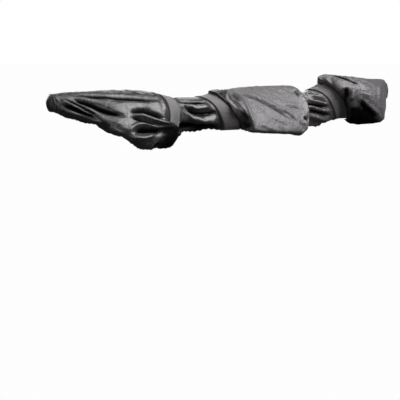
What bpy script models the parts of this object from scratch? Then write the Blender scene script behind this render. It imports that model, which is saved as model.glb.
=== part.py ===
"""A fitted weather cover for a bicycle's handlebar.

One long piece of coated nylon is wrapped over the bar, its brake levers and
its stem, and is open along the underside, where an elastic hem draws it in.
A small panel closes each end, and three webbing straps hold the cloth down
on the bar.  X runs along the bar, -Y is the front and +Z is up.  The origin
lies on the underside of the cloth, at the middle of the hood over the stem.
"""
import math
from collections import namedtuple

import bpy
import numpy as np

MM = 0.001

# Driving dimensions, in millimetres
CLOTH_THICK = 1.5           # coated nylon with its wrinkles pressed in
STRAP_THICK = 1.6           # woven webbing
STRAP_WIDTH = 25.0
STRAP_LAP = 34.0            # how far a strap's end lies over its start
LAP_CLIMB = 4               # steps in which it climbs over that start
CUT_GAP = 0.40              # between the cloth's solids, where a strap covers the cut
SEAT_GAP = 0.35             # air between two pieces that touch
ROW_SPACING = 9.5           # the longest step between two rows of the cloth
ROW_CLEARANCE = 2.0         # the shortest step beside a strap
STRAP_ROWS = 4              # steps across a strap
BRIDGE_STEPS = 5            # steps of a strap across the open underside
PANEL_STEPS = 3             # steps of an end panel across it
ARC_STEPS = (4, 11, 8, 4)   # steps under the front, up it, down the back, under it
CURVE_SAMPLES = 65          # places at which a quarter's curve is measured
ROUND = 2.0                 # the `square` of a round quarter
PANEL_DOME = 6.5            # how far the bar's end pushes an end panel out
HEM_WAVE = 1.6              # height of the hem's gathers
HEM_PITCH = 28.0            # the gathers' mean spacing
HEM_DEPTH = 14.0            # how far they reach up from the rim
HEM_WANDER = (1.3, 31.0)    # how unevenly they are spaced: by how much, how soon
FOLD_ENDS = 2.5             # how soon a fold reaches its height from its ends
STRAP_MARGIN = 1.0          # how far beside a strap the cloth is pressed flat
STRAP_FADE = 9.0            # how far beyond that the folds reach their height
END_FADE = 18.0             # how far from an end panel the folds begin

# The cloth's sections, from the left end to the right.  `at` is the crest's
# place along the bar, and `lean` how far the section runs along the bar for
# each millimetre below its crest.  Then come (y, z) pairs: the crest, the
# front's farthest point, the front rim, the back's farthest point and the
# back rim.  `square` is 2 for a round front, less for a tent, more for a box.
Section = namedtuple(
    "Section",
    "name at lean crest top front belly hem hem_z back back_z tail tail_z square",
)
SECTIONS = [Section(*row) for row in (
    # name        at    lean  crest top  front belly hem hem_z back back_z tail tail_z square
    ("left end", -377, 0.00, 24, -2, 6, -18, 18, -30, 39, -17, 27, -30, 2.0),
    ("left grip", -354, 0.00, 19, 1, -8, -22, 6, -41, 38, -17, 24, -36, 2.0),
    ("grip middle", -320, 0.00, 13, 2, -27, -30, -10, -50, 37, -18, 20, -42, 2.0),
    ("lever tip", -296, 0.00, 9, 3, -52, -44, -36, -60, 36, -20, 16, -46, 1.9),
    ("lever end", -278, 0.00, 7, 3, -69, -56, -56, -77, 35, -22, 13, -50, 1.8),
    ("lever finger", -252, 0.00, 5, 3, -76, -64, -60, -91, 34, -24, 11, -54, 1.8),
    ("lever bend", -232, -0.06, 3, 2, -72, -60, -52, -89, 34, -26, 10, -56, 1.9),
    ("lever pivot", -213, -0.10, 2, -1, -62, -56, -42, -90, 33, -28, 9, -60, 2.0),
    ("left strap far", -198.5, -0.13, 1, -6, -52, -47, -33, -90, 32, -30, 8, -64, 2.1),
    ("left strap", -186, -0.13, 1, -9, -45, -42, -27, -90, 31, -32, 8, -66, 2.2),
    ("left strap near", -173.5, -0.12, 1, -12, -42, -41, -24, -86, 30, -33, 8, -64, 2.2),
    ("left neck", -152, -0.06, 1, -14, -38, -40, -22, -71, 29, -34, 8, -62, 2.2),
    ("neck middle", -126, 0.30, 1, -14, -39, -40, -22, -71, 29, -34, 8, -62, 2.2),
    ("middle strap far", -109.5, 0.58, 1, -14, -40, -40, -23, -70, 29, -34, 8, -62, 2.2),
    ("middle strap", -97, 0.64, 0, -13, -41, -40, -24, -70, 30, -34, 8, -62, 2.2),
    ("middle strap near", -84.5, 0.70, 0, -10, -44, -43, -28, -70, 33, -36, 10, -62, 2.1),
    ("hood flank", -69, 0.41, 0, -6, -52, -50, -36, -71, 38, -38, 14, -63, 2.0),
    ("hood start", -48, 0.08, 0, -3, -77, -64, -62, -74, 54, -42, 24, -64, 1.7),
    ("hood left", -15, 0.00, 0, 1, -80, -68, -64, -76, 62, -44, 28, -65, 1.7),
    ("hood right", 45, -0.04, 0, 2, -78, -71, -62, -80, 60, -44, 28, -65, 1.7),
    ("hood side", 80, -0.14, 0, 2, -74, -72, -58, -84, 54, -42, 24, -64, 1.7),
    ("hood edge", 99, -0.20, 0, 1, -68, -66, -52, -83, 48, -40, 20, -64, 1.8),
    ("hood tuck", 109, -0.10, 0, -14, -45, -42, -30, -74, 34, -36, 12, -63, 2.1),
    ("right neck", 125, 0.30, 0, -14, -40, -38, -26, -72, 30, -34, 8, -62, 2.2),
    ("right strap far", 148.5, 0.68, 0, -8, -39, -32, -24, -64, 30, -33, 8, -59, 2.2),
    ("right strap", 161, 0.71, 0, -4, -40, -30, -25, -61, 32, -31, 8, -57, 2.2),
    ("right strap near", 173.5, 0.73, 0, 1, -43, -27, -26, -61, 33, -29, 8, -57, 2.2),
    ("bag flank", 186, 0.47, 0, 14, -58, -20, -34, -67, 36, -26, 8, -56, 2.3),
    ("bag start", 197, 0.33, 0, 18, -67, -20, -40, -73, 37, -24, 8, -56, 2.5),
    ("bag shoulder", 210, 0.20, 0, 18, -73, -26, -46, -74, 38, -21, 8, -55, 2.7),
    ("bag middle", 234, 0.08, 1, 16, -78, -42, -52, -73, 38, -20, 9, -54, 2.8),
    ("bag lever", 268, 0.02, 4, 13, -73, -58, -54, -72, 38, -20, 12, -52, 2.8),
    ("bag corner", 290, 0.00, 7, 11, -58, -62, -44, -71, 39, -18, 15, -50, 2.6),
    ("bag end", 320, 0.00, 12, 9, -30, -56, -18, -67, 40, -16, 19, -46, 2.6),
    ("right grip", 350, 0.00, 17, 8, -4, -44, 6, -58, 41, -16, 23, -42, 2.6),
    ("right turn", 366, 0.00, 21, 6, 12, -26, 16, -42, 41, -16, 26, -38, 2.4),
    ("right end", 376, 0.00, 24, -1, 18, -18, 20, -31, 40, -17, 28, -31, 2.0),
)]

# The straps lie in the sections of their own names.
Strap = namedtuple("Strap", "name section")
STRAPS = [Strap(*row) for row in (
    ("strap_left", "left strap"),
    ("strap_middle", "middle strap"),
    ("strap_right", "right strap"),
)]

# The cloth is one cut piece.  Its solid is made in four lengths, cut under the
# middles of the straps, and they are named here from the left end.
LENGTHS = ("cloth_sleeve", "cloth_neck", "cloth_hood", "cloth_bag")

# The cloth's main folds.  A fold runs from one place to another on the laid
# out cloth: `at` along the bar, and `drop` down the front from the crest, or
# down the back where it is negative.  A height below zero is a trough, and
# `bow` is how far the fold's middle bends away, toward the back's side.
Fold = namedtuple("Fold", "from_at from_drop to_at to_drop height width bow")
FOLDS = [Fold(*row) for row in (
    # along the lever sleeve, from the bar's end to the left strap
    (-374, 18, -336, 58, 2.0, 5, 0),
    (-340, 17, -212, 44, -4.5, 7, 0),
    (-345, 26, -218, 62, 4.5, 9, -10),
    (-345, 32, -222, 103, -5.0, 6, -10),
    (-358, 32, -222, 114, 4.5, 7, -10),
    (-284, 73, -220, 84, -5.0, 5, 0),
    (-284, 81, -234, 91, 3.0, 5, 0),
    # the hollow behind the lever, and its curled rim
    (-278, 108, -222, 106, -9.0, 9, 0),
    (-286, 119, -240, 119, 4.0, 6, 0),
    # across the left neck
    (-166, 20, -104, 35, -4.5, 6, 0),
    (-166, 34, -104, 46, 4.5, 6, 0),
    (-166, 42, -104, 60, -5.5, 6, 0),
    (-166, 36, -110, 76, 4.5, 6, 0),
    # the hood: its left edge, the long crease across it and a soft hollow
    (-45, 6, -49, 108, 3.5, 7, 0),
    (-46, 12, 28, 94, -4.5, 6, -4),
    (-36, 6, 42, 88, 3.0, 8, -4),
    (26, 66, 104, 82, -4.5, 9, 0),
    # across the right neck
    (112, 8, 152, 44, -4.0, 6, 0),
    (108, 24, 148, 52, 4.5, 6, 0),
    (106, 40, 150, 64, -5.0, 6, 0),
    (106, 52, 150, 76, 4.5, 6, 0),
    (106, 62, 144, 88, -4.5, 6, 0),
    # the bag: its lower edge, the pocket beside the strap and the shoulder
    (186, 78, 288, 128, 3.5, 7, 0),
    (182, 70, 204, 104, -7.0, 9, 0),
    (190, 6, 182, 40, 3.0, 5, 0),
    (200, 14, 186, 50, -3.5, 6, 0),
    (330, 30, 262, 104, 3.0, 8, 0),
)]


def slopes(places, values):
    """Tangents of a curve through the values that never overshoots them."""
    step = np.diff(places)
    rise = np.diff(values) / step
    tangent = np.zeros(len(places))
    tangent[0], tangent[-1] = rise[0], rise[-1]
    for k in range(1, len(places) - 1):
        if rise[k - 1] * rise[k] > 0:
            before, after = step[k] * 2 + step[k - 1], step[k] + step[k - 1] * 2
            tangent[k] = (before + after) / (before / rise[k - 1] + after / rise[k])
    return tangent


def blended(column, at):
    """A column of the section table at any place along the bar."""
    places = np.array([row.at for row in SECTIONS], dtype=float)
    values = np.array([getattr(row, column) for row in SECTIONS], dtype=float)
    tangent = slopes(places, values)
    k = np.clip(np.searchsorted(places, at) - 1, 0, len(places) - 2)
    span = places[k + 1] - places[k]
    t = (at - places[k]) / span
    return (
        values[k] * (1 + 2 * t) * (1 - t) ** 2
        + tangent[k] * span * t * (1 - t) ** 2
        + values[k + 1] * t * t * (3 - 2 * t)
        + tangent[k + 1] * span * t * t * (t - 1)
    )


def quarter(side, end, square, steps):
    """Points spread evenly from a section's side point to its top or rim."""
    turn = np.linspace(0, math.pi / 2, CURVE_SAMPLES)
    y = end[0] + (side[0] - end[0]) * np.cos(turn) ** (2 / square)
    z = side[1] + (end[1] - side[1]) * np.sin(turn) ** (2 / square)
    run = np.concatenate(([0], np.cumsum(np.hypot(np.diff(y), np.diff(z)))))
    share = np.linspace(0, run[-1], steps + 1)
    return np.column_stack((np.interp(share, run, y), np.interp(share, run, z)))


def section(at):
    """One section of the cloth's outer face, from the front rim to the back."""
    s = Section("", at, *(blended(name, at) for name in Section._fields[2:]))
    under, up, down, under_back = ARC_STEPS
    front, back = (s.front, s.belly), (s.back, s.back_z)
    rim, crest, tail = (s.hem, s.hem_z), (s.crest, s.top), (s.tail, s.tail_z)
    loop = np.vstack((
        quarter(front, rim, ROUND, under)[::-1],
        quarter(front, crest, s.square, up)[1:],
        quarter(back, crest, ROUND, down)[::-1][1:],
        quarter(back, tail, ROUND, under_back)[1:],
    ))
    along = at + s.lean * (s.top - loop[:, 1])
    return np.column_stack((along, loop))


def strap_span(strap):
    """The places along the bar of a strap's rows, at the cloth's own rows."""
    row = next(row for row in SECTIONS if row.name == strap.section)
    half = STRAP_WIDTH / 2
    return np.linspace(row.at - half, row.at + half, STRAP_ROWS + 1)


def cut_places():
    """The places along the bar of the cuts between the cloth's solids."""
    return [strap_span(strap)[STRAP_ROWS // 2] for strap in STRAPS]


def cloth_rows():
    """Where the cloth's rows lie along the bar, with one at each side of a cut."""
    strapped = [strap_span(strap) for strap in STRAPS]
    fixed = sorted(
        [row.at for row in SECTIONS
         if not any(span[0] - ROW_CLEARANCE < row.at < span[-1] + ROW_CLEARANCE
                    for span in strapped)]
        + [place for span in strapped for place in span if place not in cut_places()]
        + [place + side * CUT_GAP / 2 for place in cut_places() for side in (-1, 1)]
    )
    rows = [fixed[0]]
    for start, end in zip(fixed, fixed[1:]):
        steps = max(1, math.ceil((end - start) / ROW_SPACING))
        rows += [start + (end - start) * k / steps for k in range(1, steps + 1)]
    return np.array(rows)


def normals(points, closed=False):
    """Outward directions on a grid of points, one row of it a section."""
    if closed:
        around = np.roll(points, -1, axis=1) - np.roll(points, 1, axis=1)
    else:
        around = np.gradient(points, axis=1)
    out = np.cross(np.gradient(points, axis=0), around)
    return out / np.linalg.norm(out, axis=2, keepdims=True)


def eased(x):
    """A soft step from 0 to 1."""
    x = np.clip(x, 0, 1)
    return x * x * (3 - 2 * x)


def freedom(at):
    """1 where the cloth is free, and 0 where a strap presses it flat."""
    free = np.ones_like(at)
    for strap in STRAPS:
        span = strap_span(strap)
        beside = np.maximum(span[0] - at, at - span[-1])
        free *= eased((beside - STRAP_MARGIN) / STRAP_FADE)
    return free


def relief(at, drop):
    """How far the folds raise the cloth at a place on it."""
    height = np.zeros_like(drop)
    for fold in FOLDS:
        run_at, run_drop = fold.to_at - fold.from_at, fold.to_drop - fold.from_drop
        length = math.hypot(run_at, run_drop)
        off_at, off_drop = at - fold.from_at, drop - fold.from_drop
        along = (off_at * run_at + off_drop * run_drop) / length ** 2
        across = (off_at * run_drop - off_drop * run_at) / length
        across = across - fold.bow * 4 * along * (1 - along)
        ends = eased(FOLD_ENDS * (1 - abs(2 * along - 1)))
        height += fold.height * ends * np.exp(-(across / fold.width) ** 2)
    return height


def gathers(at, to_rim):
    """The waves that the elastic draws into the hem, strongest at the rim."""
    much, soon = HEM_WANDER
    wave = np.sin(2 * math.pi * at / HEM_PITCH + much * np.sin(at / soon))
    return HEM_WAVE * wave * np.exp(-(to_rim / HEM_DEPTH) ** 2)


def cloth_points():
    """The cloth's outer face: a grid of points, row by row, for each length."""
    rows = cloth_rows()
    points = np.array([section(at) for at in rows])
    step = np.linalg.norm(np.diff(points[:, :, 1:], axis=1), axis=2)
    run = np.concatenate((np.zeros((len(rows), 1)), np.cumsum(step, axis=1)), axis=1)
    crest = ARC_STEPS[0] + ARC_STEPS[1]
    drop = run[:, crest:crest + 1] - run
    to_rim = np.minimum(run, run[:, -1:] - run)
    at = np.repeat(rows[:, None], drop.shape[1], axis=1)
    ends = eased((at - rows[0]) / END_FADE) * eased((rows[-1] - at) / END_FADE)
    height = (relief(at, drop) + gathers(at, to_rim)) * freedom(at) * ends
    points = points + normals(points) * height[:, :, None]
    return np.split(points, np.searchsorted(rows, cut_places()))


def bridged(loops, steps):
    """Sections closed straight across the cloth's open underside."""
    share = np.linspace(0, 1, steps + 1)[1:-1, None]
    bridge = loops[:, -1:] * (1 - share) + loops[:, :1] * share
    return np.concatenate((loops, bridge), axis=1)


def strap_points(strap):
    """A strap's inner face: once round the cloth, then over its own start."""
    loops = bridged(np.array([section(at) for at in strap_span(strap)]), BRIDGE_STEPS)
    out = normals(loops, closed=True)
    start = ARC_STEPS[3] + BRIDGE_STEPS - 1
    loops, out = np.roll(loops, start, axis=1), np.roll(out, start, axis=1)
    step = np.linalg.norm(np.diff(loops[STRAP_ROWS // 2], axis=0), axis=1)
    laps = int(np.searchsorted(np.cumsum(step), STRAP_LAP)) + 1
    loops = np.concatenate((loops, loops[:, :laps]), axis=1)
    out = np.concatenate((out, out[:, :laps]), axis=1)
    climb = eased((np.arange(-loops.shape[1], 0) + laps + LAP_CLIMB + 1) / LAP_CLIMB)
    lift = SEAT_GAP + (STRAP_THICK + SEAT_GAP) * climb
    return loops + out * lift[None, :, None]


def material(name, colour, roughness):
    """A plain finish for one kind of piece."""
    finish = bpy.data.materials.new(name)
    finish.use_nodes = True
    shader = finish.node_tree.nodes["Principled BSDF"]
    shader.inputs["Base Color"].default_value = (*colour, 1)
    shader.inputs["Roughness"].default_value = roughness
    return finish


def thicken(piece, thickness, offset):
    """Give an open sheet its thickness, to one side of its face."""
    shell = piece.modifiers.new("thickness", "SOLIDIFY")
    shell.thickness = thickness * MM
    shell.offset = offset
    shell.use_even_offset = False


def settle(piece, name, finish, collection):
    """Name a new piece, give it its finish and put it in the collection."""
    piece.name = piece.data.name = name
    piece.data.materials.append(finish)
    piece.data.shade_smooth()
    for home in list(piece.users_collection):
        home.objects.unlink(piece)
    collection.objects.link(piece)


def sheet(name, points, finish, collection):
    """A sheet whose grid of points is given row by row, facing outward."""
    rows, columns = points.shape[:2]
    bpy.ops.mesh.primitive_grid_add(
        x_subdivisions=columns - 1, y_subdivisions=rows - 1, size=1
    )
    piece = bpy.context.object
    piece.data.vertices.foreach_set("co", (points * MM).reshape(-1))
    piece.data.flip_normals()
    settle(piece, name, finish, collection)
    return piece


def end_panel(name, row, outward, finish, collection):
    """A panel over the sleeve's end, pushed out to a point by the bar."""
    rim = bridged(section(row.at)[None], PANEL_STEPS)[0]
    rim[:, 0] += outward * SEAT_GAP
    if outward > 0:
        rim = rim[::-1]
    tip = rim.mean(axis=0) + (outward * PANEL_DOME, 0, 0)
    bpy.ops.mesh.primitive_circle_add(vertices=len(rim), fill_type="TRIFAN")
    piece = bpy.context.object
    points = np.vstack((tip, rim))
    piece.data.vertices.foreach_set("co", (points * MM).reshape(-1))
    thicken(piece, CLOTH_THICK, 1)
    settle(piece, name, finish, collection)
    return piece


def main():
    for item in list(bpy.data.objects):
        bpy.data.objects.remove(item)
    cover = bpy.data.collections.new("handlebar_cover")
    bpy.context.scene.collection.children.link(cover)
    nylon = material("coated_nylon", (0.022, 0.022, 0.026), 0.36)
    webbing = material("strap_webbing", (0.060, 0.060, 0.065), 0.75)

    for name, points in zip(LENGTHS, cloth_points()):
        length = sheet(name, points, nylon, cover)
        thicken(length, CLOTH_THICK, -1)
    end_panel("end_panel_left", SECTIONS[0], -1, nylon, cover)
    end_panel("end_panel_right", SECTIONS[-1], 1, nylon, cover)
    for strap in STRAPS:
        band = sheet(strap.name, strap_points(strap), webbing, cover)
        thicken(band, STRAP_THICK, 1)


main()
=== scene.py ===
"""The looks of a bicycle handlebar cover, piece by piece, as it is put together."""
import math
from collections import namedtuple

import bpy
import numpy as np
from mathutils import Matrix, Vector, noise


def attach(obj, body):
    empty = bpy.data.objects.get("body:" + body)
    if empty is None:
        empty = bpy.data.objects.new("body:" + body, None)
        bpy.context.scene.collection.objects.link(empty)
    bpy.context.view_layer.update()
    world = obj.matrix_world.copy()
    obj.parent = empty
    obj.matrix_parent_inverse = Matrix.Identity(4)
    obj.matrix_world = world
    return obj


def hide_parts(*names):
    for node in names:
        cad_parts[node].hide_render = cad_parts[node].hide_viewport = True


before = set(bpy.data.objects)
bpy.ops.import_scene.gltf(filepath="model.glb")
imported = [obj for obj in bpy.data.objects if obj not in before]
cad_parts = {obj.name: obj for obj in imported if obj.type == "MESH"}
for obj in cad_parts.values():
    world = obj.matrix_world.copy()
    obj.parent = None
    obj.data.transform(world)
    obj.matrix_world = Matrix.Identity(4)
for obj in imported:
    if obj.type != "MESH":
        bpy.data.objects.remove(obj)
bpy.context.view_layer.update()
bpy.ops.object.select_all(action="DESELECT")


# ---------------------------------------------------------------- cover cloth
# One long piece of black coated nylon, cut to the bar with wide bellies over
# the brake levers and the stem.  It is wrapped over from the front, gathered
# by the elastic in its hem, and pulled into creases wherever a strap ties it.
# All sizes here are millimetres.

MM = 0.001
CLOTH_THICK = 0.9
CLOTH_ARCS = (12, 78, 16, 6)    # steps: front rim to side, to crest, to back, to rim

Section = namedtuple(
    "Section",
    "at lean crest top front belly hem hem_z back back_z tail tail_z square",
)
SECTIONS = [Section(*row) for row in (
    # at    lean  crest top front belly hem hem_z back back_z tail tail_z square
    (-377, 0.00, 24, -2, 6, -18, 18, -30, 39, -17, 27, -30, 2.0),  # left end
    (-354, 0.00, 19, 1, -9, -29, 4, -41, 38, -17, 24, -36, 2.0),
    (-320, 0.00, 13, 2, -29, -40, -14, -51, 37, -18, 20, -42, 1.75),
    (-296, 0.00, 9, 3, -54, -57, -40, -64, 36, -20, 16, -46, 1.6),
    (-278, 0.00, 7, 3, -70, -72, -60, -81, 35, -22, 13, -50, 1.5),  # left lever
    (-252, 0.00, 5, 3, -76, -75, -62, -91, 34, -24, 11, -54, 1.5),
    (-232, -0.06, 3, 2, -72, -66, -53, -90, 34, -26, 10, -56, 1.6),
    (-213, -0.10, 2, -1, -62, -56, -42, -90, 33, -28, 9, -60, 2.0),
    (-198.5, -0.13, 1, -6, -52, -47, -33, -90, 32, -30, 8, -64, 2.1),
    (-186, -0.13, 1, -9, -45, -42, -27, -90, 31, -32, 8, -66, 2.2),  # left strap
    (-173.5, -0.12, 1, -12, -42, -41, -24, -86, 30, -33, 8, -64, 2.2),
    (-152, -0.06, 1, -14, -38, -40, -22, -71, 29, -34, 8, -62, 2.2),
    (-126, 0.30, 1, -14, -39, -40, -22, -71, 29, -34, 8, -62, 2.2),
    (-109.5, 0.58, 1, -14, -40, -40, -23, -70, 29, -34, 8, -62, 2.2),
    (-97, 0.64, 0, -13, -41, -40, -24, -70, 30, -34, 8, -62, 2.2),  # middle strap
    (-84.5, 0.70, 0, -10, -44, -43, -28, -70, 33, -36, 10, -62, 2.1),
    (-69, 0.41, 0, -6, -52, -50, -36, -71, 38, -38, 14, -63, 2.0),
    (-48, 0.08, 0, -3, -77, -68, -63, -73, 54, -42, 24, -64, 1.5),  # hood
    (-15, 0.00, 0, 1, -80, -71, -65, -76, 62, -44, 28, -65, 1.45),
    (45, -0.04, 0, 2, -78, -75, -63, -81, 60, -44, 28, -65, 1.45),
    (80, -0.14, 0, 2, -74, -76, -59, -85, 54, -42, 24, -64, 1.5),
    (99, -0.20, 0, 1, -68, -66, -52, -83, 48, -40, 20, -64, 1.8),
    (109, -0.10, 0, -14, -45, -42, -30, -74, 34, -36, 12, -63, 2.1),
    (125, 0.30, 0, -14, -40, -38, -26, -72, 30, -34, 8, -62, 2.2),  # right neck
    (148.5, 0.68, 0, -8, -39, -32, -24, -64, 30, -33, 8, -59, 2.2),
    (161, 0.71, 0, -4, -40, -30, -25, -61, 32, -31, 8, -57, 2.2),  # right strap
    (173.5, 0.73, 0, 1, -43, -27, -26, -61, 33, -29, 8, -57, 2.2),
    (186, 0.47, 0, 14, -58, -20, -34, -67, 36, -26, 8, -56, 2.3),
    (197, 0.33, 0, 18, -67, -20, -40, -73, 37, -24, 8, -56, 2.5),  # right bag
    (210, 0.20, 0, 18, -73, -26, -46, -74, 38, -21, 8, -55, 2.7),
    (234, 0.08, 1, 16, -78, -42, -52, -73, 38, -20, 9, -54, 2.8),
    (268, 0.02, 4, 13, -73, -58, -54, -72, 38, -20, 12, -52, 2.8),
    (290, 0.00, 7, 11, -58, -62, -44, -71, 39, -18, 15, -50, 2.6),
    (320, 0.00, 12, 9, -30, -56, -18, -67, 40, -16, 19, -46, 2.6),
    (350, 0.00, 17, 8, -4, -44, 6, -58, 41, -16, 23, -42, 2.6),
    (366, 0.00, 21, 6, 12, -26, 16, -42, 41, -16, 26, -38, 2.4),
    (376, 0.00, 24, -1, 18, -18, 20, -31, 40, -17, 28, -31, 2.0),  # right end
)]

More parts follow.
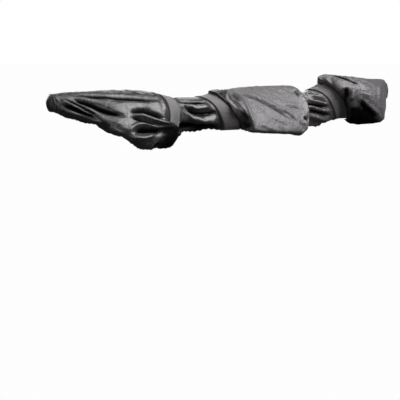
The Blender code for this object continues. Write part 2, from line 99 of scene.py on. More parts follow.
# The creases, as they lie on the cloth when it is laid out flat: how high each
# stands (below zero it is a trough), how wide it is, and the places that it
# runs through, along the bar and down the front from the crest (below zero,
# down the back).  A ridge is round, and a trough is narrow with a sharp bed.
Crease = namedtuple("Crease", "height width path")
CREASES = [Crease(*row) for row in (
    # the lever sleeve: long folds fan out from the bar's end to the lever
    (3.4, 3.2, ((-377, 25), (-370, 31), (-362, 41), (-352, 50), (-341, 56),
                (-325, 66), (-310, 78), (-302, 86))),
    (-6.0, 3.2, ((-374, 26), (-363, 35), (-350, 45), (-336, 55), (-320, 65))),
    (3.0, 2.4, ((-371, 20), (-353, 37), (-341, 48), (-324, 60))),
    (-5.0, 2.0, ((-367, 20), (-351, 34), (-335, 48), (-318, 62))),
    (3.4, 2.8, ((-373, 15), (-355, 29), (-341, 41), (-327, 53), (-309, 73),
                (-292, 86))),
    (-9.0, 3.2, ((-357, 22), (-343, 32), (-329, 40), (-315, 53), (-301, 64),
                 (-281, 72))),
    (3.0, 9.0, ((-212, 54), (-241, 51), (-262, 49), (-282, 47), (-300, 43))),
    (1.6, 8.0, ((-284, 40), (-300, 36), (-320, 28), (-345, 20))),
    (-5.6, 4.8, ((-353, 15), (-337, 18), (-311, 26), (-277, 32), (-253, 36),
                 (-223, 42), (-206, 43))),
    (-10.0, 3.2, ((-277, 67), (-266, 64), (-253, 64), (-239, 70), (-226, 77),
                  (-210, 84))),
    (4.0, 3.2, ((-272, 72), (-259, 74), (-247, 79), (-233, 85), (-215, 90))),
    (-10.0, 2.4, ((-279, 71), (-265, 80), (-251, 87), (-236, 91), (-216, 96))),
    (6.0, 10.0, ((-314, 80), (-298, 96), (-286, 108))),
    (2.4, 4.0, ((-214, 8), (-208, 30), (-207, 52), (-210, 70))),
    # the hollow that the lever leaves, under its lip, with a curled rim below
    (4.6, 3.4, ((-285, 104), (-279, 95), (-268, 91), (-247, 91), (-221, 96))),
    (-17.0, 5.0, ((-279, 103), (-267, 99), (-251, 99), (-232, 102), (-216, 106))),
    (7.0, 4.0, ((-286, 106), (-276, 111), (-265, 114), (-254, 112), (-242, 107))),
    (-7.0, 4.0, ((-246, 132), (-236, 130), (-228, 122))),
    # the left neck, between two straps
    (2.0, 3.0, ((-176, 12), (-156, 12), (-138, 14), (-112, 17))),
    (-6.0, 4.8, ((-180, 24), (-168, 25), (-153, 26), (-138, 29), (-110, 31))),
    (5.0, 6.0, ((-160, 35), (-150, 40), (-137, 44), (-124, 43), (-114, 39))),
    (-10.0, 3.2, ((-160, 39), (-152, 45), (-144, 51), (-131, 54), (-119, 53),
                  (-110, 50))),
    (4.4, 5.0, ((-158, 52), (-146, 60), (-131, 65), (-119, 64), (-111, 61))),
    (3.0, 3.0, ((-170, 28), (-163, 34), (-151, 47), (-138, 60), (-127, 72))),
    (2.6, 3.0, ((-168, 44), (-154, 54), (-142, 66), (-134, 78))),
    (-3.6, 2.2, ((-170, 40), (-158, 50), (-146, 62))),
    (2.8, 2.6, ((-126, 82), (-126, 74), (-122, 67), (-113, 61))),
    (4.0, 2.6, ((-142, 66), (-131, 67), (-120, 70), (-109, 72))),
    (2.6, 3.0, ((-174, 63), (-156, 64), (-142, 67))),
    (-11.0, 8.0, ((-176, 73), (-156, 75), (-141, 78), (-125, 81), (-110, 82))),
    (-2.6, 4.0, ((-164, -8), (-140, -14), (-108, -10))),
    (2.8, 5.0, ((-166, -30), (-140, -26), (-106, -34))),
    # the hood's left flank and the sharp edge where its front begins
    (3.2, 4.0, ((-46, 12), (-42, 36), (-44, 58), (-49, 82), (-50, 104))),
    (-4.6, 6.0, ((-64, 20), (-62, 46), (-62, 72), (-64, 94))),
    (2.8, 2.6, ((-44, -9), (-60, 8), (-78, 24))),
    (-4.8, 2.4, ((-46, -2), (-60, 14), (-76, 30))),
    (2.2, 2.0, ((-48, 6), (-60, 21), (-72, 36))),
    (-5.0, 4.6, ((-64, 12), (-74, 28), (-78, 44), (-72, 58))),
    (-4.6, 3.6, ((-53, 14), (-51, 28), (-51, 44))),
    (2.4, 4.0, ((-74, 50), (-66, 60), (-58, 84))),
    (-5.0, 4.0, ((-78, 78), (-68, 90), (-56, 98))),
    (2.6, 3.0, ((-76, 92), (-64, 104), (-48, 112))),
    # the hood's front: one long crease across it, and softer ones
    (-4.4, 2.6, ((-44, 14), (-25, 36), (-9, 49), (5, 61), (21, 75), (43, 89),
                 (62, 96))),
    (2.8, 4.4, ((-38, 8), (-20, 30), (-4, 43), (10, 55), (28, 69), (50, 83),
                (68, 90))),
    (-3.0, 2.2, ((-26, 58), (-15, 71), (-8, 80))),
    (-2.0, 2.2, ((44, 12), (52, 24), (60, 32))),
    (-2.4, 2.6, ((72, 14), (78, 22), (84, 34))),
    (-3.4, 2.6, ((30, 74), (46, 84), (62, 98))),
    (1.6, 3.0, ((56, 10), (64, 24), (72, 34))),
    (-2.6, 4.0, ((40, 64), (62, 68), (84, 74), (96, 80))),
    (2.0, 5.0, ((34, 60), (58, 62), (82, 66))),
    (-2.4, 3.4, ((-8, 87), (15, 99), (35, 106))),
    (1.8, 4.0, ((-38, 96), (-14, 108), (14, 116))),
    (-3.0, 3.2, ((68, 98), (78, 106), (80, 118))),
    (2.8, 3.6, ((80, 96), (90, 104), (92, 116))),
    (-2.0, 5.0, ((-30, -10), (0, -30), (20, -56), (30, -76))),
    (2.2, 6.0, ((20, -8), (44, -28), (66, -60))),
    (-2.0, 5.0, ((-44, -20), (-34, -44), (-38, -70))),
    # the right neck: many short folds slant down to the strap
    (3.6, 3.0, ((112, 5), (126, 10), (142, 22))),
    (-3.6, 2.4, ((114, 11), (126, 15), (136, 21), (146, 34))),
    (4.2, 3.2, ((110, 20), (124, 26), (136, 34), (146, 45))),
    (-4.0, 2.0, ((118, 31), (132, 39), (145, 51))),
    (3.4, 2.6, ((98, 41), (112, 38), (124, 41), (138, 48), (147, 54))),
    (-10.0, 3.0, ((100, 48), (108, 46), (115, 45), (125, 48), (135, 53), (145, 59))),
    (3.6, 2.8, ((104, 52), (117, 53), (127, 57), (138, 64), (147, 71))),
    (-10.0, 3.0, ((106, 60), (116, 60), (125, 62), (134, 68), (142, 74))),
    (4.4, 3.4, ((106, 68), (115, 69), (124, 73), (134, 79), (142, 85))),
    (-3.6, 2.4, ((108, 79), (120, 84), (134, 91))),
    (2.6, 3.0, ((108, 84), (122, 88), (134, 95))),
    (-2.6, 4.0, ((112, -8), (128, -16), (148, -10))),
    (2.8, 4.0, ((112, -26), (130, -30), (150, -26))),
    # the tucks where the hood's front is folded in at its right edge
    (-5.0, 2.4, ((92, 22), (91, 32), (90, 42))),
    (-5.5, 2.6, ((84, 86), (92, 92), (100, 97))),
    # the bag: its square shoulder, pocket, slanting lower edge and corner
    (2.6, 2.6, ((186, -4), (178, 8), (172, 22))),
    (-3.6, 2.0, ((188, 2), (180, 14), (173, 28))),
    (2.6, 2.4, ((190, 8), (182, 20), (174, 34))),
    (-3.6, 2.0, ((190, 20), (184, 30), (180, 40))),
    (2.6, 3.4, ((194, 12), (197, 34), (209, 52))),
    (-6.0, 3.4, ((193, 16), (197, 42), (205, 57), (213, 69))),
    (-4.6, 3.0, ((206, 20), (214, 38), (226, 50))),
    (-7.0, 4.0, ((187, 58), (185, 68), (181, 78))),
    (10.0, 4.2, ((195, 68), (192, 76), (188, 84))),
    (-7.0, 8.0, ((197, 92), (205, 106), (214, 116), (234, 128), (256, 136))),
    (3.9, 4.6, ((196, 74), (198, 90), (214, 108), (234, 120), (260, 126))),
    (-2.4, 3.0, ((184, 56), (200, 62), (214, 78))),
    (2.4, 2.6, ((174, 42), (182, 54), (190, 66))),
    (-2.0, 4.0, ((204, 18), (222, 44), (240, 62))),
    (1.6, 4.0, ((222, 22), (238, 46), (262, 66))),
    (2.4, 4.5, ((337, 12), (300, 46), (268, 72), (254, 100))),
    (-2.4, 4.5, ((330, 34), (312, 54), (286, 84), (276, 110))),
    (2.0, 5.0, ((200, -10), (230, -26), (260, -30), (300, -24))),
    (-2.2, 5.0, ((196, -34), (230, -44), (280, -46))),
)]


def eased(x):
    """A soft step from 0 to 1."""
    x = np.clip(x, 0, 1)
    return x * x * (3 - 2 * x)


def bell(x, width):
    """1 where x is zero, and less to both sides."""
    return np.exp(-(x / width) ** 2)


def spread(at, pairs):
    """A value that drifts along the bar, given as pairs of a place and the value."""
    return np.interp(at, *zip(*pairs))


def slopes(places, values):
    """Tangents of a curve through the values that never overshoots them."""
    step = np.diff(places)
    rise = np.diff(values) / step
    tangent = np.zeros(len(places))
    tangent[0], tangent[-1] = rise[0], rise[-1]
    for k in range(1, len(places) - 1):
        if rise[k - 1] * rise[k] > 0:
            before, after = step[k] * 2 + step[k - 1], step[k] + step[k - 1] * 2
            tangent[k] = (before + after) / (before / rise[k - 1] + after / rise[k])
    return tangent


def curve_through(places, values, at):
    """A smooth curve through the values, read at other places."""
    places, values = np.asarray(places, float), np.asarray(values, float)
    tangent = slopes(places, values)
    k = np.clip(np.searchsorted(places, at) - 1, 0, len(places) - 2)
    span = places[k + 1] - places[k]
    t = (at - places[k]) / span
    return (
        values[k] * (1 + 2 * t) * (1 - t) ** 2
        + tangent[k] * span * t * (1 - t) ** 2
        + values[k + 1] * t * t * (3 - 2 * t)
        + tangent[k + 1] * span * t * t * (t - 1)
    )


QUARTER_POINTS = 97     # points that a quarter of a section is measured from


def quarter(side, end, square, steps):
    """Points spread evenly from a section's side point to its top or rim."""
    turn = np.linspace(0, math.pi / 2, QUARTER_POINTS)
    y = end[0] + (side[0] - end[0]) * np.cos(turn) ** (2 / square)
    z = side[1] + (end[1] - side[1]) * np.sin(turn) ** (2 / square)
    run = np.concatenate(([0], np.cumsum(np.hypot(np.diff(y), np.diff(z)))))
    share = np.linspace(0, run[-1], steps + 1)
    return np.column_stack((np.interp(share, run, y), np.interp(share, run, z)))


def cloth_section(at, arcs):
    """One section of the cloth's outer face, from the front rim to the back."""
    places = [row.at for row in SECTIONS]
    s = Section(at, *(
        float(curve_through(places, [getattr(row, name) for row in SECTIONS], at))
        for name in Section._fields[1:]
    ))
    under, up, down, under_back = arcs
    front, back = (s.front, s.belly), (s.back, s.back_z)
    rim, crest, tail = (s.hem, s.hem_z), (s.crest, s.top), (s.tail, s.tail_z)
    loop = np.vstack((
        quarter(front, rim, 2.0, under)[::-1],
        quarter(front, crest, s.square, up)[1:],
        quarter(back, crest, 2.0, down)[::-1][1:],
        quarter(back, tail, 2.0, under_back)[1:],
    ))
    along = at + s.lean * (s.top - loop[:, 1])
    return np.column_stack((along, loop))


def run_along(points):
    """How far each point of a line is from its start."""
    step = np.linalg.norm(np.diff(points, axis=0), axis=1)
    return np.concatenate(([0], np.cumsum(step)))


def outward(points, closed=False):
    """Directions out of the cloth, on a grid of points with a section a row."""
    if closed:
        around = np.roll(points, -1, axis=1) - np.roll(points, 1, axis=1)
    else:
        around = np.gradient(points, axis=1)
    out = np.cross(np.gradient(points, axis=0), around)
    return out / np.linalg.norm(out, axis=2, keepdims=True)


LINE_POINTS = 8                         # points on a crease's line for each of its places
END_START, END_RISE = 0.12, 3.2         # how a crease fades in from its ends
RIDGE_ABOVE, RIDGE_BELOW = 1.3, 0.75    # a ridge's width to each side of its line
BED_ROUND, BED_POWER = 0.15, 1.5        # how round a trough's bed is, and how it opens


def crease_relief(at, drop, crease):
    """How far one crease raises the cloth.

    A ridge falls off more steeply below its line than above it.
    """
    path = np.array(crease.path, dtype=float)
    run = run_along(path)
    share = np.linspace(0, run[-1], LINE_POINTS * len(path))
    line = np.column_stack([curve_through(run, path[:, k], share) for k in (0, 1)])
    course = np.gradient(line, axis=0)
    away = np.stack([at[..., None] - line[:, 0], drop[..., None] - line[:, 1]])
    nearest = np.hypot(*away).argmin(axis=-1)[..., None]
    away = np.take_along_axis(away, nearest[None], axis=-1)[..., 0]
    course = course[nearest[..., 0]]
    below = course[..., 0] * away[1] - course[..., 1] * away[0] > 0
    off = np.hypot(*away)
    to_end = np.minimum(share, run[-1] - share) / run[-1]
    ends = eased(END_RISE * to_end + END_START)[nearest[..., 0]]
    if crease.height > 0:
        side = np.where(below, RIDGE_BELOW, RIDGE_ABOVE)
        shape = bell(off, crease.width * side)
    else:
        shape = np.exp(-np.hypot(off / crease.width, BED_ROUND) ** BED_POWER)
    return crease.height * ends * shape


# the straps' places, where the cloth is pressed flat against the bar
STRAP_PLACES = (-186, -97, 161)
STRAP_WIDTH = 25.0
STRAP_CLEAR = 18        # sections of the table nearer than this give way to its rows
STRAP_STEPS = 4


def strap_rows(at, steps):
    """Places across a strap's width, evenly from edge to edge."""
    return np.linspace(at - STRAP_WIDTH / 2, at + STRAP_WIDTH / 2, steps + 1)


# the longest step between two rows of the grid
ROW_STEPS = (
    (-377, 2.8), (-290, 2.6), (-270, 1.9), (-190, 1.5), (-50, 1.6),
    (80, 2.5), (95, 1.4), (190, 1.4), (240, 2.2), (376, 2.8),
)

fixed = sorted(
    [row.at for row in SECTIONS
     if all(abs(row.at - place) > STRAP_CLEAR for place in STRAP_PLACES)]
    + [x for place in STRAP_PLACES for x in strap_rows(place, STRAP_STEPS)]
)
rows = [fixed[0]]
for start, end in zip(fixed, fixed[1:]):
    steps = max(1, math.ceil((end - start) / spread(start, ROW_STEPS)))
    rows += [start + (end - start) * k / steps for k in range(1, steps + 1)]
rows = np.array(rows)

face = np.array([cloth_section(at, CLOTH_ARCS) for at in rows])
step = np.linalg.norm(np.diff(face[:, :, 1:], axis=1), axis=2)
run = np.concatenate((np.zeros((len(rows), 1)), np.cumsum(step, axis=1)), axis=1)
crest = CLOTH_ARCS[0] + CLOTH_ARCS[1]
drop = run[:, crest:crest + 1] - run
to_rim = np.minimum(run, run[:, -1:] - run)
at = np.repeat(rows[:, None], drop.shape[1], axis=1)

# The bed mask is painted: near black and without shine, it stands in for the
# shadow under cloth that folds over itself, which this single sheet doesn't do.
DEEP = 4.0                      # the mask is for troughs deeper than this
GREY_BED, BLACK_BED = 3.0, 5.5  # the depths between which a bed gets its full black

height, bed, raised = (np.zeros_like(drop) for _ in range(3))
for crease in CREASES:
    relief = crease_relief(at, drop, crease)
    height += relief
    share = relief / crease.height
    if crease.height < -DEEP:
        black = min(1, (-crease.height - GREY_BED) / (BLACK_BED - GREY_BED))
        bed = np.maximum(bed, eased(share * 2 - 0.25) * black)
    elif crease.height >= DEEP:
        raised = np.maximum(raised, eased(share * 1.4))

# crumples: small facets all over, strongest at the necks and on the bag
CRUMPLE_ALONG, CRUMPLE_DOWN = 21, 15
CRUMPLED = (
    (-377, 0.10), (-300, 0.40), (-215, 0.60), (-160, 1.00), (-60, 0.90), (-30, 0.40),
    (20, 0.35), (95, 0.50), (112, 1.00), (170, 1.10), (240, 0.80), (376, 0.40),
)


def crumple_at(x, d):
    """The height of the crumples at one point of the laid-out cloth."""
    spot = Vector((x / CRUMPLE_ALONG, d / CRUMPLE_DOWN, 0.3 * math.sin(x / 60)))
    return noise.ridged_multi_fractal(spot, 0.9, 2.1, 3, 0.9, 1.6)


crumple = np.array([crumple_at(x, d) for x, d in zip(at.ravel(), drop.ravel())])
crumple = crumple.reshape(at.shape) - crumple.mean()
height += crumple * spread(at, CRUMPLED)

# the hem: a rolled casing that the elastic draws into short gathers
GATHER_HEIGHT, GATHER_LENGTH, GATHER_REACH = 0.9, 6.3, 7    # reach: from the rim
SLOW_HEIGHT, SLOW_LENGTH, SLOW_REACH = 1.2, 28, 16
CASING_HEIGHT = 0.8
CASING, CASING_WIDTH = 4, 3.5       # where the roll is, from the rim, and its width
SEAM, SEAM_WIDTH = 10, 1.8          # and the groove of the seam that closes it
DRAWN = (
    (-377, 0.50), (-330, 0.80), (-215, 0.80), (-190, 1.00), (-110, 1.00), (-60, 0.60),
    (-40, 0.15), (90, 0.15), (110, 1.00), (150, 1.00), (190, 0.15), (376, 0.15),
)
full_turn = 2 * math.pi * at
gather = np.sin(
    full_turn / GATHER_LENGTH + 2.3 * np.sin(at / 11.0) + 1.1 * np.sin(at / 4.7))
slow = np.sin(full_turn / SLOW_LENGTH + 1.3 * np.sin(at / 31.0))
drawn = spread(at, DRAWN)
height += GATHER_HEIGHT * drawn * gather * bell(to_rim, GATHER_REACH)
height += SLOW_HEIGHT * drawn * slow * bell(to_rim, SLOW_REACH)
height += (CASING_HEIGHT * bell(to_rim - CASING, CASING_WIDTH)
           - CASING_HEIGHT * bell(to_rim - SEAM, SEAM_WIDTH))

# Cloth hangs over the straps.  Beside a strap's edge it is lifted, to pass over
# the band, whose face is 1.85 mm out, and then shifted along the bar.  At the
# hem below the left strap it still meets the band in places.
OVER_STRAP = 3.9
LIFT_RUN, SHIFT_RUN = 3, 8      # how far from the edge each of the two is reached

slack, out = np.zeros(face.shape), outward(face)


def overhang(beside, reach, spot, shift):
    """How far the cloth moves, and the share of the shift that it makes."""
    full = bell((beside - SHIFT_RUN).clip(0), reach) * spot
    share = eased(beside / SHIFT_RUN) * full
    lift = OVER_STRAP * eased(beside / LIFT_RUN) * eased(full * 2)
    return share[:, :, None] * shift + out * lift[:, :, None], share


# the slack hem bulges over the lower part of the left strap, from both sides;
# these lumps get the bed mask's painted shadow as well
left, middle, right = STRAP_PLACES
low = eased((drop - 78) / 20)
for side, reach in ((-1, 17), (1, 13)):
    beside = side * (at - (left + side * STRAP_WIDTH / 2))
    moved, lump = overhang(beside, reach, low, (-13.0 * side, -15.0, 5.0))
    slack += moved
    bed = np.maximum(bed, 0.95 * eased(lump * 2.2))

# the hood's flank hangs a little way over the middle strap, and the bag's full
# cloth over about a quarter of the right one's width
for place, over, end in ((middle, -10.0, 76), (right, -14.0, 200)):
    front = eased((drop + 14) / 16) * eased((end - drop) / 20)
    slack += overhang(at - (place + STRAP_WIDTH / 2), 11, front, (over, -3.0, 1.0))[0]

# painted shadow from the bed mask also darkens the bag's face below its slanting
# edge, and a patch beside the right strap's lower half; the raised creases are kept out
# of it
BAG_EDGE = ((186, 88), (203, 110), (223, 121), (231, 126), (269, 134), (300, 140))
under = eased((drop - spread(at, BAG_EDGE)) / 8)
bed = np.maximum(bed, under * eased((at - 180) / 8) * eased((290 - at) / 20))
beneath = eased((drop - 56) / 10) * eased((at - 170) / 4) * eased((188 - at) / 6)
bed = np.maximum(bed, 0.9 * beneath) * (1 - 0.9 * raised)

# all of this relief fades out at the straps and at both ends
STRAP_MARGIN, STRAP_FADE, END_FADE = 0.5, 8.0, 16
free = np.ones_like(at)
for place in STRAP_PLACES:
    span = strap_rows(place, STRAP_STEPS)
    off = np.maximum(span[0] - at, at - span[-1])
    free *= eased((off - STRAP_MARGIN) / STRAP_FADE)
ends = eased((at - rows[0]) / END_FADE) * eased((rows[-1] - at) / END_FADE)
cloth_face = face + out * (height * free * ends)[:, :, None] + slack


def sheet_of(name, points, laid_out, thickness, bed=None):
    """A sheet made from a grid, shaped point by point and given its thickness."""
    bpy.ops.object.select_all(action="DESELECT")
    count, columns = points.shape[:2]
    bpy.ops.mesh.primitive_grid_add(
        x_subdivisions=columns - 1, y_subdivisions=count - 1, size=1)
    piece = bpy.context.object
    piece.name = piece.data.name = name
    piece.data.vertices.foreach_set("co", (points * MM).reshape(-1))
    piece.data.flip_normals()
    place = piece.data.attributes.new("laid_out", "FLOAT_VECTOR", "POINT")
    place.data.foreach_set("vector", (laid_out * MM).reshape(-1))
    # the mask of painted shadow, kept on the points
    if bed is not None:
        deep = piece.data.attributes.new("painted_shadow", "FLOAT", "POINT")
        deep.data.foreach_set("value", bed.reshape(-1))
    shell = piece.modifiers.new("thickness", "SOLIDIFY")
    shell.thickness = abs(thickness) * MM
    shell.offset = math.copysign(1, thickness)
    shell.use_even_offset = False
    bpy.ops.object.modifier_apply(modifier=shell.name)
    bpy.ops.object.shade_smooth()
    return piece


cloth = sheet_of(
    "cover_fabric", cloth_face,
    np.dstack((at, drop, np.zeros_like(at))), -CLOTH_THICK, bed)


def node(tree, kind, inputs=(), **settings):
    """A shader node with its settings, and its inputs set to values or joined."""
    made = tree.nodes.new(kind)
    for name, value in settings.items():
        setattr(made, name, value)
    for key, value in dict(inputs).items():
        if isinstance(value, bpy.types.NodeSocket):
            tree.links.new(value, made.inputs[key])
        else:
            made.inputs[key].default_value = value
    return made


def maths(tree, operation, *values):
    """A number worked out from others."""
    return node(tree, "ShaderNodeMath", enumerate(values), operation=operation).outputs[0]


def ranged(tree, value, low, high, start=0.0, end=1.0):
    """A number that goes from low to high as the value goes from start to end."""
    return node(tree, "ShaderNodeMapRange", {
        "Value": value, "From Min": start, "From Max": end,
        "To Min": low, "To Max": high}).outputs[0]


def mixed(tree, share, first, second):
    """A colour between two."""
    return node(tree, "ShaderNodeMix", {
        "Factor": share, "A": first, "B": second}, data_type="RGBA").outputs["Result"]


def clouded(tree, place, scale, detail):
    """Soft noise over a laid-out piece."""
    return node(tree, "ShaderNodeTexNoise", {
        "Scale": scale, "Detail": detail, "Vector": place}).outputs["Fac"]


def laid_place(tree):
    """The place on the laid-out cloth, whole and split into its axes."""
    laid = node(tree, "ShaderNodeAttribute", attribute_name="laid_out").outputs["Vector"]
    return laid, node(tree, "ShaderNodeSeparateXYZ", {0: laid}).outputs


def new_group(name, setting, value, results):
    """A node group that takes a place and one setting."""
    group = bpy.data.node_groups.new(name, "ShaderNodeTree")
    socket = group.interface.new_socket
    socket("Place", in_out="INPUT", socket_type="NodeSocketVector")
    given = socket(setting, in_out="INPUT", socket_type="NodeSocketFloat")
    given.default_value = value
    for result in results:
        socket(result, in_out="OUTPUT", socket_type="NodeSocketFloat")
    return group, group.nodes.new("NodeGroupInput").outputs


def crinkle_group():
    """Creases of coated cloth: sharp ridges between facets, and softer swells."""
    group, given = new_group("cloth_crinkle", "Size", 60.0, ("Height", "Ridge"))
    drift = node(group, "ShaderNodeTexNoise", {
        "Scale": 46, "Detail": 3, "Vector": given["Place"]})
    bend = node(group, "ShaderNodeVectorMath", {
        0: drift.outputs["Color"], 1: (0.03, 0.03, 0), 2: given["Place"]},
        operation="MULTIPLY_ADD").outputs[0]
    facets = node(group, "ShaderNodeTexVoronoi", {
        "Scale": given["Size"], "Vector": bend}, feature="DISTANCE_TO_EDGE")
    ridge = node(group, "ShaderNodeMapRange", {
        "From Min": 0.09, "From Max": 0.0, "Value": facets.outputs["Distance"]},
        interpolation_type="SMOOTHSTEP").outputs[0]
    swell = node(group, "ShaderNodeTexNoise", {
        "Scale": 52, "Detail": 3, "Roughness": 0.45, "Vector": bend},
        noise_type="RIDGED_MULTIFRACTAL").outputs["Fac"]
    node(group, "NodeGroupOutput", {
        "Height": maths(group, "MULTIPLY_ADD", ridge, 0.18, swell), "Ridge": ridge})
    return group


def weave_group():
    """A plain weave: threads over and under each other, at a given spacing."""
    group, given = new_group("plain_weave", "Threads", 900.0, ("Height",))
    parts = node(group, "ShaderNodeSeparateXYZ", {0: given["Place"]}).outputs
    waves = [
        maths(group, "SINE", maths(group, "MULTIPLY", parts[axis], given["Threads"]))
        for axis in ("X", "Y")
    ]
    node(group, "NodeGroupOutput", {"Height": maths(group, "MULTIPLY", *waves)})
    return group


CRINKLE, WEAVE = crinkle_group(), weave_group()

SLEEVE_BLACK = (0.012, 0.011, 0.012, 1)
HOOD_GREY = (0.056, 0.051, 0.055, 1)
RIDGE_GREY = (0.085, 0.080, 0.086, 1)
# the near black of the painted shadow
PAINTED_SHADOW_BLACK = (0.003, 0.003, 0.003, 1)


def coated_nylon(name):
    """Thin black nylon with a shiny coating, crinkled, paler along its ridges.

    It is paler and duller from the hood on, less so at the bag.  Where the bed
    mask is set, it is near black without shine, in place of a shadow.
    """
    finish = bpy.data.materials.new(name)
    finish.use_nodes = True
    tree = finish.node_tree
    laid, parts = laid_place(tree)
    hooded = ranged(tree, parts["X"], 0, 1, -0.10, -0.03)
    bagged = ranged(tree, parts["X"], 0, 0.35, 0.17, 0.22)
    pale = maths(tree, "SUBTRACT", hooded, bagged)
    crinkle = node(tree, "ShaderNodeGroup", {"Size": 62.0, "Place": laid},
                   node_tree=CRINKLE).outputs
    weave = node(tree, "ShaderNodeGroup", {"Threads": 9000.0, "Place": laid},
                 node_tree=WEAVE).outputs
    cloud = clouded(tree, laid, 28, 4)
    bed = node(tree, "ShaderNodeAttribute", attribute_name="painted_shadow").outputs["Fac"]

    shade = mixed(tree, pale, SLEEVE_BLACK, HOOD_GREY)
    ridge = maths(tree, "MULTIPLY", crinkle["Ridge"], cloud)
    shade = mixed(tree, maths(tree, "MULTIPLY", ridge, 0.45), shade, RIDGE_GREY)

    dull = maths(tree, "MULTIPLY_ADD", cloud, 0.12, ranged(tree, pale, 0.28, 0.48))
    off_neck = maths(tree, "ABSOLUTE", maths(tree, "SUBTRACT", parts["X"], 0.13))
    gloss = ranged(tree, off_neck, 0.6, 1, 0.02, 0.05)      # the right neck is glossier

    strength = ranged(tree, pale, 0.0012, 0.0022)
    tall = maths(tree, "MULTIPLY", crinkle["Height"], strength)
    bump = node(tree, "ShaderNodeBump", {
        "Distance": 1.0,
        "Height": maths(tree, "MULTIPLY_ADD", weave["Height"], 0.00002, tall)})

    shader = tree.nodes["Principled BSDF"]
    shader.inputs["Sheen Roughness"].default_value = 0.5
    for key, value in (
        ("Base Color", mixed(tree, bed, shade, PAINTED_SHADOW_BLACK)),
        ("Specular IOR Level", ranged(tree, bed, 0.62, 0.0)),
        ("Sheen Weight", ranged(tree, bed, 0.08, 0.0)),
        ("Roughness", maths(tree, "MULTIPLY", dull, gloss)),
        ("Normal", bump.outputs[0]),
    ):
        tree.links.new(value, shader.inputs[key])
    return finish


NYLON = coated_nylon("coated_nylon_black")
cloth.data.materials.append(NYLON)
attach(cloth, "root")
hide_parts("cloth_sleeve", "cloth_neck", "cloth_hood", "cloth_bag")


# ---------------------------------------------------------------- straps
# Three flat bands of 25 mm polypropylene webbing.  Each is passed once round
# the cloth and the bar, pulled tight, and lapped over its own start behind.

STRAP_THICK = 1.5
STRAP_LAP = 34.0
STRAP_ARCS = (8, 30, 20, 8)
ACROSS_STEPS = 8
BRIDGE_STEPS = 12
SEAT_GAP = 0.35                 # between the cloth and what lies on it
LAP_GAP = 0.3
CLIMB_START, CLIMB_STEPS = 7, 6     # it climbs from 7 points before the lap, in 6


def webbing_band(name, place):
    """A band round the cloth: its loop, bridged below, then its lapped end."""
    loops = np.array(
        [cloth_section(x, STRAP_ARCS) for x in strap_rows(place, ACROSS_STEPS)])
    share = np.linspace(0, 1, BRIDGE_STEPS + 1)[1:-1, None]
    bridge = loops[:, -1:] * (1 - share) + loops[:, :1] * share
    loops = np.concatenate((loops, bridge), axis=1)
    out = outward(loops, closed=True)
    start = STRAP_ARCS[3] + BRIDGE_STEPS - 1
    loops, out = np.roll(loops, start, axis=1), np.roll(out, start, axis=1)
    run = run_along(loops[loops.shape[0] // 2])
    laps = int(np.searchsorted(run[1:], STRAP_LAP)) + 1
    loops = np.concatenate((loops, loops[:, :laps]), axis=1)
    out = np.concatenate((out, out[:, :laps]), axis=1)
    climb = eased(
        (np.arange(-loops.shape[1], 0) + laps + CLIMB_START) / CLIMB_STEPS)
    lift = SEAT_GAP + (STRAP_THICK + LAP_GAP) * climb
    points = loops + out * lift[None, :, None]
    run = run_along(points[points.shape[0] // 2])
    across = np.linspace(-STRAP_WIDTH / 2, STRAP_WIDTH / 2, points.shape[0])
    laid = np.zeros_like(points)
    laid[:, :, 0] = run[None, :]
    laid[:, :, 1] = across[:, None]
    return sheet_of(name, points, laid, STRAP_THICK), float(run[-1])


WEBBING_DARK = (0.076, 0.070, 0.074, 1)
WEBBING_LIGHT = (0.122, 0.114, 0.119, 1)
WEBBING_EDGE_SHADE = (0.018, 0.017, 0.018, 1)


def strap_webbing(name):
    """Matt webbing: a coarse plain weave, mottled, with painted shade along both edges.
    """
    finish = bpy.data.materials.new(name)
    finish.use_nodes = True
    tree = finish.node_tree
    laid, parts = laid_place(tree)
    weave = node(tree, "ShaderNodeGroup", {"Threads": 2600.0, "Place": laid},
                 node_tree=WEAVE).outputs
    # painted shade: both edges of the band go near black
    edge = ranged(tree, maths(tree, "ABSOLUTE", parts["Y"]), 0, 1, 0.0095, 0.0118)
    cloud = clouded(tree, laid, 190, 3)
    mottle = mixed(tree, cloud, WEBBING_DARK, WEBBING_LIGHT)
    bump = node(tree, "ShaderNodeBump", {
        "Distance": 0.00022, "Height": weave["Height"]})

    shader = tree.nodes["Principled BSDF"]
    shader.inputs["Specular IOR Level"].default_value = 0.35
    shader.inputs["Sheen Weight"].default_value = 0.3
    shader.inputs["Sheen Roughness"].default_value = 0.45
    for key, value in (
        ("Base Color", mixed(tree, edge, mottle, WEBBING_EDGE_SHADE)),
        ("Roughness", ranged(tree, cloud, 0.66, 0.86)),
        ("Normal", bump.outputs[0]),
    ):
        tree.links.new(value, shader.inputs[key])
    return finish


WEBBING = strap_webbing("polypropylene_webbing")
for side, place in zip(("left", "middle", "right"), STRAP_PLACES):
    band, length = webbing_band("strap_webbing_" + side, place)
    band.data.materials.append(WEBBING)
    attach(band, "root")
    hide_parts("strap_" + side)


# ---------------------------------------------------------------- end panels
# A small panel of the same nylon is sewn into each end of the cloth.  The end of
# the bar pushes it out to a blunt point, and it is a little puckered.

PANEL_THICK = 0.9
PANEL_DOME = 8.0
PANEL_RINGS = 12
PANEL_ARCS = (8, 22, 16, 8)
PANEL_BRIDGE_STEPS = 6
LAST_RING = 0.97        # how far in the last ring is, which a face then closes
DOME_POWER = 1.2        # 1 is a cone, and more is blunter
PUCKER, PUCKERS = 0.25, 5
WELD = 0.00002          # in metres
TIP_RADIUS = 1.6        # the last ring lies within this of the tip


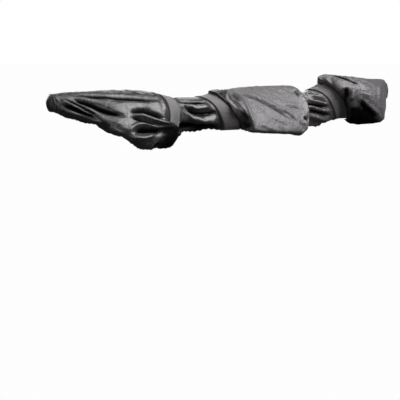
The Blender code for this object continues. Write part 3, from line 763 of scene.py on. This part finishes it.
def panel_rings(row, away):
    """Rings that shrink from the seam to the pushed-out middle."""
    loop = cloth_section(row.at, PANEL_ARCS)
    share = np.linspace(0, 1, PANEL_BRIDGE_STEPS + 1)[1:-1, None]
    rim = np.vstack((loop, loop[-1:] * (1 - share) + loop[:1] * share))
    rim[:, 0] += away * SEAT_GAP
    middle = rim.mean(axis=0)
    turn = np.arctan2(rim[:, 2] - middle[2], rim[:, 1] - middle[1])
    rings = []
    for k in range(PANEL_RINGS + 1):
        inward = k / PANEL_RINGS
        ring = rim + (middle - rim) * inward * LAST_RING
        wave = np.sin(turn * PUCKERS + 1.2 * np.sin(turn * 2))
        pucker = PUCKER * wave * (1 - inward) * inward * 4
        dome = PANEL_DOME * (1 - (1 - inward) ** DOME_POWER)
        ring[:, 0] += away * (dome + pucker)
        rings.append(ring)
    rings = np.array(rings)
    rings = np.concatenate((rings, rings[:, :1]), axis=1)
    return rings[:, ::-1] if away > 0 else rings


def end_cap(name, row, away):
    """A panel made from its rings, welded, closed at its tip and given thickness."""
    rings = panel_rings(row, away)
    laid = np.zeros_like(rings)
    laid[:, :, 0], laid[:, :, 1] = row.at + rings[:, :, 1], rings[:, :, 2]
    bpy.ops.object.select_all(action="DESELECT")
    bpy.ops.mesh.primitive_grid_add(
        x_subdivisions=rings.shape[1] - 1, y_subdivisions=PANEL_RINGS, size=1)
    piece = bpy.context.object
    piece.name = piece.data.name = name
    piece.data.vertices.foreach_set("co", (rings * MM).reshape(-1))
    spot = piece.data.attributes.new("laid_out", "FLOAT_VECTOR", "POINT")
    spot.data.foreach_set("vector", (laid * MM).reshape(-1))
    bpy.ops.object.mode_set(mode="EDIT")
    bpy.ops.mesh.select_all(action="SELECT")
    bpy.ops.mesh.remove_doubles(threshold=WELD)
    bpy.ops.mesh.select_all(action="DESELECT")
    bpy.ops.mesh.select_mode(type="VERT")
    bpy.ops.object.mode_set(mode="OBJECT")
    tip = rings[-1].mean(axis=0)
    for vertex in piece.data.vertices:
        vertex.select = (vertex.co / MM - Vector(tip)).length < TIP_RADIUS
    bpy.ops.object.mode_set(mode="EDIT")
    bpy.ops.mesh.edge_face_add()
    bpy.ops.mesh.poke()
    bpy.ops.mesh.select_all(action="SELECT")
    bpy.ops.mesh.normals_make_consistent(inside=False)
    bpy.ops.object.mode_set(mode="OBJECT")
    if piece.data.polygons[0].normal.x * away < 0:
        piece.data.flip_normals()
    shell = piece.modifiers.new("thickness", "SOLIDIFY")
    shell.thickness = PANEL_THICK * MM
    shell.offset = 1
    bpy.ops.object.modifier_apply(modifier=shell.name)
    bpy.ops.object.shade_smooth()
    return piece


PANELS = (
    # side, the cloth's end section, way out along the bar, flat size in metres
    ("left", SECTIONS[0], -1, (0.036, 0.032)),
    ("right", SECTIONS[-1], 1, (0.025, 0.034)),
)
for side, row, away, cut in PANELS:
    cap = end_cap("end_cap_" + side, row, away)
    cap.data.materials.append(NYLON)
    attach(cap, "root")
    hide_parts("end_panel_" + side)


# ---------------------------------------------------------------- the studio
# A floor and a surround look white and light the cloth very little.  Five soft
# lights do that: a wide key overhead to the right, weak ones above and left of
# the left end and low in front, and one behind for the top edges.

FLOOR_Z = -0.95
FLOOR_RADIUS = 60
PAPER_WHITE = (0.985, 0.985, 0.985, 1)
PAPER_DARK = (0.02, 0.02, 0.02, 1)
WHITE = (1, 1, 1, 1)
AIM = (0, 0, -0.03)
LIGHTS = (
    # name, place, point that it faces, width, height, watts
    ("light_key", (0.95, -1.3, 2.05), (0.05, 0, -0.03), 3.0, 2.6, 198),
    ("light_above", (-0.9, 0.1, 1.8), (-0.35, 0, -0.03), 1.2, 1.2, 16),
    ("light_left", (-2.1, -0.95, 0.1), (-0.1, 0, -0.03), 1.1, 0.8, 13),
    ("light_low", (1.2, -2.4, 0.45), AIM, 2.4, 0.8, 9),
    ("light_behind", (0.45, 2.45, 0.7), AIM, 2.6, 1.3, 48),
)
# the camera stands in front and to the left, a little above the bar
CAMERA_PLACE = (-1.01445, -1.29844, 0.06935)
CAMERA_TURN = (80.5382, 0, -34.9956)    # degrees
CAMERA_LENS = 81.9


def seen_as(tree, lighting, shown, output):
    """Shows the camera one shader, and lights the object with another."""
    path = node(tree, "ShaderNodeLightPath")
    pick = node(tree, "ShaderNodeMixShader", {
        0: path.outputs["Is Camera Ray"], 1: lighting.outputs[0], 2: shown.outputs[0]})
    tree.links.new(pick.outputs[0], tree.nodes[output].inputs["Surface"])


bpy.ops.object.select_all(action="DESELECT")
bpy.ops.mesh.primitive_circle_add(
    vertices=96, radius=FLOOR_RADIUS, fill_type="NGON", location=(0, 0, FLOOR_Z))
floor = bpy.context.object
floor.name = "studio_floor"
paper = bpy.data.materials.new("studio_paper")
paper.use_nodes = True
tree = paper.node_tree
paper_shader = tree.nodes["Principled BSDF"]
paper_shader.inputs["Base Color"].default_value = PAPER_DARK
paper_shader.inputs["Roughness"].default_value = 0.9
paper_shader.inputs["Specular IOR Level"].default_value = 0.1
lit = node(tree, "ShaderNodeEmission", {"Color": PAPER_WHITE})
seen_as(tree, paper_shader, lit, "Material Output")
floor.data.materials.append(paper)

world = bpy.data.worlds.new("studio_surround")
bpy.context.scene.world = world
world.use_nodes = True
tree = world.node_tree
surround = tree.nodes["Background"]
surround.inputs["Color"].default_value = WHITE
surround.inputs["Strength"].default_value = 0.02
backdrop = node(tree, "ShaderNodeBackground", {"Color": WHITE, "Strength": 1.0})
seen_as(tree, surround, backdrop, "World Output")


def softbox(name, place, target, width, height, power):
    """An area light that faces a point."""
    bpy.ops.object.light_add(type="AREA", location=place)
    lamp = bpy.context.object
    lamp.name = name
    lamp.data.shape = "RECTANGLE"
    lamp.data.size, lamp.data.size_y = width, height
    lamp.data.energy = power
    facing = Vector(target) - Vector(place)
    lamp.rotation_euler = facing.to_track_quat("-Z", "Y").to_euler()


for light in LIGHTS:
    softbox(*light)

camera = bpy.data.objects.new("camera", bpy.data.cameras.new("camera"))
bpy.context.collection.objects.link(camera)
camera.location = CAMERA_PLACE
camera.rotation_euler = tuple(math.radians(a) for a in CAMERA_TURN)
camera.data.sensor_width = 36
camera.data.lens = CAMERA_LENS
camera.data.clip_start, camera.data.clip_end = 0.05, 100
bpy.context.scene.camera = camera
bpy.context.scene.view_settings.view_transform = "Standard"
